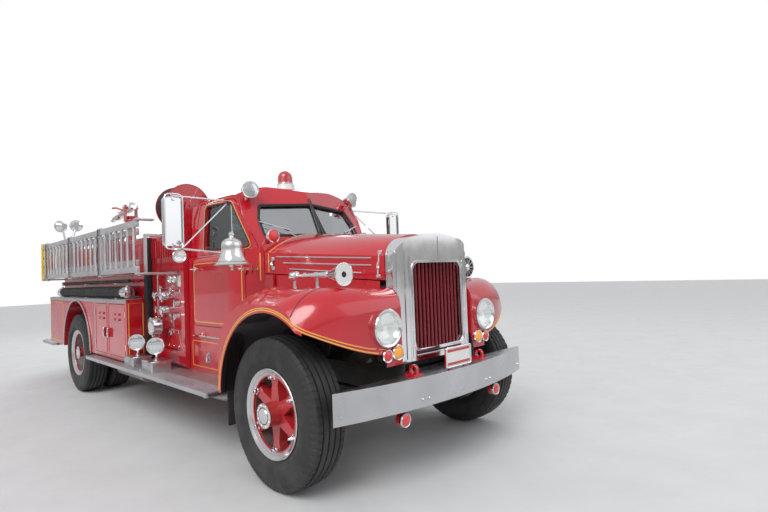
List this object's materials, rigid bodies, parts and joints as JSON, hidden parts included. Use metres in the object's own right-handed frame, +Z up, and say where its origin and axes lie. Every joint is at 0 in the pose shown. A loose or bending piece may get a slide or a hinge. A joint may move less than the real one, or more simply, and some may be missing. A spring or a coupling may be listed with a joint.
{
  "type": "bonneted fire engine",
  "caption": "Bonneted pumper fire engine with pontoon fenders, hose bed, side ladders, deck gun, hose reel, opening doors, bonnet and lockers, and steered front wheels.",
  "frame": {"origin": "on the ground below the middle of the vehicle's length and width", "axes": "+X forward, +Y to the left, +Z up"},
  "size_m": [7.9498, 2.835, 2.6147],
  "materials": {
    "red_paint": "deep gloss red paint with gold lining",
    "red_wheel": "red cast spokes with a silver rim",
    "maroon_paint": "dark red gloss paint",
    "frame_black": "black chassis paint",
    "engine_grey": "cast iron",
    "radiator_black": "matt black core",
    "chrome": "polished chrome",
    "aluminium": "brushed aluminium",
    "pale_steel": "satin steel",
    "glass": "clear glass",
    "tyre": "black rubber",
    "rubber": "black ribbed rubber hose",
    "seat_vinyl": "dark seat cover",
    "black_plastic": "black rim",
    "red_lens": "red beacon dome"
  },
  "bodies": {
    "chassis": {"frame": "frame_black", "front_axle": "frame_black", "rear_axle": "frame_black", "leaf_springs": "frame_black", "engine_block": "engine_grey", "driveline": "frame_black", "exhaust": "pale_steel", "bumper": "aluminium", "bumper_fittings": "red_paint", "radiator_shell": "chrome", "grille": "maroon_paint", "radiator": "radiator_black", "front_lamps": "chrome", "front_fenders": "red_paint", "cab": "red_paint", "windscreen": "glass", "seat": "seat_vinyl", "steering_wheel": "black_plastic", "pump_house": "red_paint", "pump_fittings": "chrome", "rear_body": "red_paint", "locker_bodies": "red_paint", "wheel_housings": "red_paint", "hose_bed": "red_paint", "running_boards": "aluminium", "tailboard": "aluminium", "ladders": "aluminium", "ladder_rack": "aluminium", "suction_hoses": "rubber", "beacon": "red_lens", "lamps": "chrome", "bell": "chrome", "horns": "chrome"},
    "hood_right": {"hood_right": "red_paint"},
    "hood_left": {"hood_left": "red_paint"},
    "door_right": {"door_right": "red_paint", "door_glass_right": "glass", "mirror_right": "chrome"},
    "door_left": {"door_left": "red_paint", "door_glass_left": "glass", "mirror_left": "chrome"},
    "locker_door_front_right": {"locker_door_front_right": "red_paint"},
    "locker_door_rear_right": {"locker_door_rear_right": "red_paint"},
    "locker_door_front_left": {"locker_door_front_left": "red_paint"},
    "locker_door_rear_left": {"locker_door_rear_left": "red_paint"},
    "knuckle_right": {"knuckle_right": "frame_black"},
    "knuckle_left": {"knuckle_left": "frame_black"},
    "tie_rod": {"tie_rod": "frame_black"},
    "front_wheel_right": {"wheel_front_right": "red_wheel", "tyre_front_right": "tyre"},
    "front_wheel_left": {"wheel_front_left": "red_wheel", "tyre_front_left": "tyre"},
    "rear_wheels_right": {"wheel_rear_right": "red_wheel", "tyre_rear_right": "tyre"},
    "rear_wheels_left": {"wheel_rear_left": "red_wheel", "tyre_rear_left": "tyre"},
    "hose_reel": {"hose_reel": "red_paint"},
    "monitor_turret": {"monitor_turret": "red_paint"},
    "monitor_barrel": {"monitor_barrel": "chrome"}
  },
  "joints": [
    {"name": "steer_right", "type": "hinge", "parent": "chassis", "child": "knuckle_right", "pos_m": [3.195, -0.86, 0.535], "axis": [0, 0, 1], "range_deg": [-32, 32]},
    {"name": "steer_left", "type": "hinge", "parent": "chassis", "child": "knuckle_left", "pos_m": [3.195, 0.86, 0.535], "axis": [0, 0, 1], "range_deg": [-32, 32]},
    {"name": "tie_rod_pivot", "type": "hinge", "parent": "knuckle_right", "child": "tie_rod", "pos_m": [2.995, -0.86, 0.42], "axis": [0, 0, 1], "range_deg": [-32, 32]},
    {"name": "spin_front_right", "type": "hinge", "parent": "knuckle_right", "child": "front_wheel_right", "pos_m": [3.195, -1.045, 0.535], "axis": [0, 1, 0], "continuous": true},
    {"name": "spin_front_left", "type": "hinge", "parent": "knuckle_left", "child": "front_wheel_left", "pos_m": [3.195, 1.045, 0.535], "axis": [0, 1, 0], "continuous": true},
    {"name": "spin_rear_right", "type": "hinge", "parent": "chassis", "child": "rear_wheels_right", "pos_m": [-1.713, -1.016, 0.535], "axis": [0, 1, 0], "continuous": true},
    {"name": "spin_rear_left", "type": "hinge", "parent": "chassis", "child": "rear_wheels_left", "pos_m": [-1.713, 1.016, 0.535], "axis": [0, 1, 0], "continuous": true},
    {"name": "door_right_hinge", "type": "hinge", "parent": "chassis", "child": "door_right", "pos_m": [2.274, -0.814, 1.4], "axis": [0, 0, 1], "range_deg": [0, 60]},
    {"name": "door_left_hinge", "type": "hinge", "parent": "chassis", "child": "door_left", "pos_m": [2.274, 0.814, 1.4], "axis": [0, 0, -1], "range_deg": [0, 60]},
    {"name": "hood_right_hinge", "type": "hinge", "parent": "chassis", "child": "hood_right", "pos_m": [3.635, 0, 1.775], "axis": [-0.997, 0, 0.0773], "range_deg": [0, 75]},
    {"name": "hood_left_hinge", "type": "hinge", "parent": "chassis", "child": "hood_left", "pos_m": [3.635, 0, 1.775], "axis": [0.997, 0, -0.0773], "range_deg": [0, 75]},
    {"name": "locker_front_right_hinge", "type": "hinge", "parent": "chassis", "child": "locker_door_front_right", "pos_m": [0.265, -1.153, 0.94], "axis": [0, 0, 1], "range_deg": [0, 95]},
    {"name": "locker_rear_right_hinge", "type": "hinge", "parent": "chassis", "child": "locker_door_rear_right", "pos_m": [-0.825, -1.153, 0.94], "axis": [0, 0, -1], "range_deg": [0, 95]},
    {"name": "locker_front_left_hinge", "type": "hinge", "parent": "chassis", "child": "locker_door_front_left", "pos_m": [0.265, 1.153, 0.94], "axis": [0, 0, -1], "range_deg": [0, 95]},
    {"name": "locker_rear_left_hinge", "type": "hinge", "parent": "chassis", "child": "locker_door_rear_left", "pos_m": [-0.825, 1.153, 0.94], "axis": [0, 0, 1], "range_deg": [0, 95]},
    {"name": "reel_spin", "type": "hinge", "parent": "chassis", "child": "hose_reel", "pos_m": [0.655, -0.64, 2.31], "axis": [1, 0, 0], "continuous": true},
    {"name": "monitor_pan", "type": "hinge", "parent": "chassis", "child": "monitor_turret", "pos_m": [-0.605, -0.78, 2.26], "axis": [0, 0, 1], "range_deg": [-170, 170]},
    {"name": "monitor_tilt", "type": "hinge", "parent": "monitor_turret", "child": "monitor_barrel", "pos_m": [-0.605, -0.78, 2.45], "axis": [0, 1, 0], "range_deg": [-7, 75]}
  ],
  "couplings": [
    {"joint": "steer_left", "follows": "steer_right", "ratio": 1},
    {"joint": "tie_rod_pivot", "follows": "steer_right", "ratio": -1}
  ]
}
